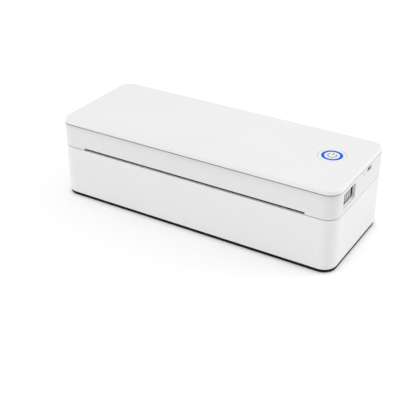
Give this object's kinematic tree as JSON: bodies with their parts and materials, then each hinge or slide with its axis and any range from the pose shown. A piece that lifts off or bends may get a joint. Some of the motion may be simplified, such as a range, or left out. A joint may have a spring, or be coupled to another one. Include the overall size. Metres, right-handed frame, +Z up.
{
  "type": "thermal label printer",
  "caption": "Low white box printer fed from a paper roll inside, with a hinged top half, a long paper slot at the front, a lit round button, a side latch and a charging port.",
  "frame": {"origin": "on the surface it stands on, under the middle of its overall box", "axes": "+X to the right along the front, +Y to the back, +Z up"},
  "size_m": [0.27, 0.1054, 0.0753],
  "materials": {
    "white_shell": "fine satin moulded plastic",
    "black_base": "fine matte moulded plastic",
    "foot_rubber": "soft matte rubber",
    "platen_rubber": "ground matte rubber",
    "tray_plastic": "matte moulded plastic",
    "guide_plastic": "dark moulded plastic",
    "gear_plastic": "smooth acetal",
    "steel": "bright steel",
    "screw_steel": "dark plated steel",
    "brass": "cut brass",
    "motor_can": "plated sheet steel",
    "aluminium": "extruded aluminium",
    "head_ceramic": "polished ceramic",
    "board_green": "green solder mask",
    "chip_black": "moulded black resin",
    "connector_cream": "moulded nylon",
    "battery_wrap": "shrink film",
    "flat_cable": "smooth film",
    "lead_cover": "soft insulation",
    "blue_light": "lit diffusing plastic",
    "light_pipe": "clear plastic"
  },
  "bodies": {
    "base": {"lower_case": "white_shell", "base_plate": "black_base", "rubber_feet": "foot_rubber", "base_screws": "screw_steel", "hinge_pins": "steel", "roll_cradle": "tray_plastic", "bracket_screws": "screw_steel", "pinion_screw": "screw_steel", "platen_bracket_left": "steel", "platen_bracket_right": "steel", "platen_bushing_left": "gear_plastic", "platen_bushing_right": "gear_plastic"},
    "platen": {"platen_shaft": "steel", "platen_rubber": "platen_rubber", "platen_gear": "gear_plastic"},
    "guide_left": {"paper_guide_left": "guide_plastic"},
    "guide_right": {"paper_guide_right": "guide_plastic"},
    "pinion": {"guide_pinion": "gear_plastic"},
    "lid": {"upper_case": "white_shell", "top_plate": "white_shell", "top_screws": "screw_steel", "switch_body": "chip_black", "head_cable": "flat_cable", "drive_frame": "steel", "head_frame": "steel", "frame_screws": "screw_steel", "gear_post": "steel", "motor": "motor_can", "motor_screws": "screw_steel", "tear_bar": "steel", "paper_sensor": "chip_black", "main_board": "board_green", "board_screws": "screw_steel", "board_parts": "chip_black", "motor_leads": "lead_cover", "battery_leads": "lead_cover", "battery": "battery_wrap", "port_shell": "steel", "port_tongue": "chip_black", "charge_light": "light_pipe", "latch_springs": "steel", "head_springs": "steel"},
    "button": {"power_button": "white_shell", "light_ring": "blue_light", "switch_plunger": "connector_cream"},
    "latch": {"latch_slider": "white_shell", "latch_bar": "guide_plastic"},
    "head": {"heat_sink": "aluminium", "head_strip": "head_ceramic", "driver_board": "board_green", "driver_cover": "chip_black", "head_connector": "connector_cream"},
    "reduction": {"reduction_gear": "gear_plastic"},
    "rotor": {"motor_shaft": "steel", "motor_pinion": "brass"}
  },
  "joints": [
    {"name": "lid_hinge", "type": "hinge", "parent": "base", "child": "lid", "pos_m": [0, 0.0503, 0.04965], "axis": [-1, 0, 0], "range_deg": [0, 80]},
    {"name": "platen_spin", "type": "hinge", "parent": "base", "child": "platen", "pos_m": [0, -0.0372, 0.0438], "axis": [1, 0, 0], "continuous": true},
    {"name": "reduction_spin", "type": "hinge", "parent": "lid", "child": "reduction", "pos_m": [0, -0.02571, 0.05344], "axis": [1, 0, 0], "continuous": true},
    {"name": "motor_spin", "type": "hinge", "parent": "lid", "child": "rotor", "pos_m": [0, -0.01218, 0.05837], "axis": [1, 0, 0], "continuous": true},
    {"name": "guide_left_slide", "type": "slide", "parent": "base", "child": "guide_left", "axis": [1, 0, 0], "range_m": [0, 0.08]},
    {"name": "guide_right_slide", "type": "slide", "parent": "base", "child": "guide_right", "axis": [-1, 0, 0], "range_m": [0, 0.08]},
    {"name": "guide_pinion_spin", "type": "hinge", "parent": "base", "child": "pinion", "pos_m": [0, -0.01105, 0.0057], "axis": [0, 0, 1], "range_deg": [0, 720]},
    {"name": "head_pivot", "type": "hinge", "parent": "lid", "child": "head", "pos_m": [0, -0.0217, 0.0558], "axis": [-1, 0, 0], "range_deg": [0, 2.5], "stiffness_Nm_per_rad": 3, "springref_deg": -5.73, "deforming": ["head_springs"]},
    {"name": "button_press", "type": "slide", "parent": "lid", "child": "button", "axis": [0, 0, -1], "range_m": [0, 0.0006], "stiffness_N_per_m": 2000, "springref_m": -0.0003},
    {"name": "latch_slide", "type": "slide", "parent": "lid", "child": "latch", "axis": [0, 1, 0], "range_m": [0, 0.0025], "stiffness_N_per_m": 800, "springref_m": -0.002, "deforming": ["latch_springs"]}
  ],
  "couplings": [
    {"joint": "reduction_spin", "follows": "platen_spin", "ratio": -1.5},
    {"joint": "motor_spin", "follows": "platen_spin", "ratio": 4.5},
    {"joint": "guide_right_slide", "follows": "guide_left_slide", "ratio": 1},
    {"joint": "guide_pinion_spin", "follows": "guide_left_slide", "rad_per_m": 138.89}
  ]
}
